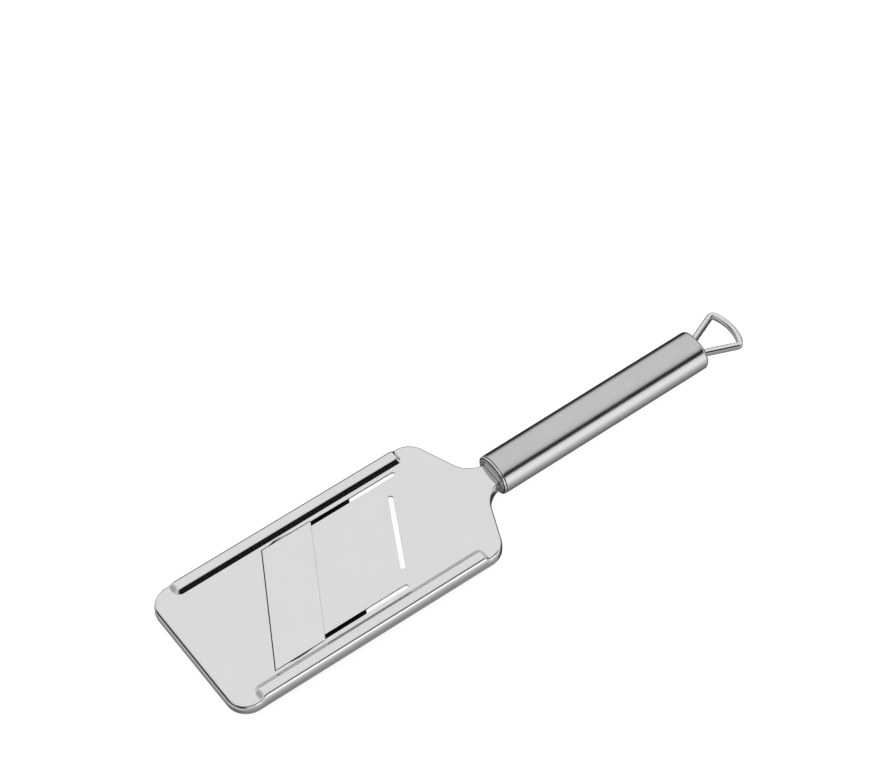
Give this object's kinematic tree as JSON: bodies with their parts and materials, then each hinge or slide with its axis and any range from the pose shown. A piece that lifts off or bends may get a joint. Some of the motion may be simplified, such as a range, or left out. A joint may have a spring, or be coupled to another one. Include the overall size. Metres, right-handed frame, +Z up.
{
  "type": "hand-held mandoline slicer",
  "caption": "Stainless hand-held slicer: flanged plate with side rails, fixed diagonal blade, screw-adjusted ramp, oval tube handle and hanging loop.",
  "frame": {"origin": "Middle of the bounding box in plan, at the lowest point of the part (underside of the handle).", "axes": "+X runs along the length from the free end of the plate to the hanging loop, +Y across the plate, +Z up from the slicing face."},
  "size_m": [0.3204, 0.078, 0.0199],
  "materials": {
    "plate_steel": "fine satin sheet, polished bend",
    "blade_steel": "ground blade steel",
    "bed_steel": "dull dark sheet",
    "black_coated": "black semi-matt coating",
    "turned_steel": "turned, fine rings",
    "black_plastic": "moulded, light grain",
    "pad_plastic": "smooth low-friction plastic",
    "spring_steel": "drawn wire",
    "handle_brushed": "lengthwise satin brushing",
    "polished_steel": "mirror polished",
    "loop_steel": "polished strip"
  },
  "bodies": {
    "frame": {"slicing_plate": "plate_steel", "slicing_blade": "blade_steel", "blade_bed": "bed_steel", "adjuster_bridge": "black_coated", "threaded_bush": "turned_steel", "knob_spring": "spring_steel", "handle_tube": "handle_brushed", "front_cap": "polished_steel", "rear_cap": "polished_steel", "hanging_loop": "loop_steel"},
    "ramp": {"slicing_ramp": "plate_steel"},
    "pad": {"pressure_pad": "pad_plastic"},
    "knob": {"adjuster_screw": "turned_steel", "adjuster_knob": "black_plastic", "spring_washer": "turned_steel"}
  },
  "joints": [
    {"name": "screw_travel", "type": "slide", "parent": "frame", "child": "pad", "axis": [0, 0, -1], "range_m": [0, 0.00184], "deforming": ["knob_spring"]},
    {"name": "knob_turn", "type": "hinge", "parent": "pad", "child": "knob", "pos_m": [-0.07716, 0, 0.004], "axis": [0, 0, -1], "range_deg": [0, 830]},
    {"name": "ramp_flex", "type": "hinge", "parent": "frame", "child": "ramp", "pos_m": [-0.04376, 0, 0.01105], "axis": [-0.4614, -0.8872, 0], "range_deg": [0, 3.6], "stiffness_Nm_per_rad": 1}
  ],
  "couplings": [
    {"joint": "knob_turn", "follows": "screw_travel", "rad_per_m": 7854},
    {"joint": "ramp_flex", "follows": "screw_travel", "rad_per_m": 33.746}
  ]
}
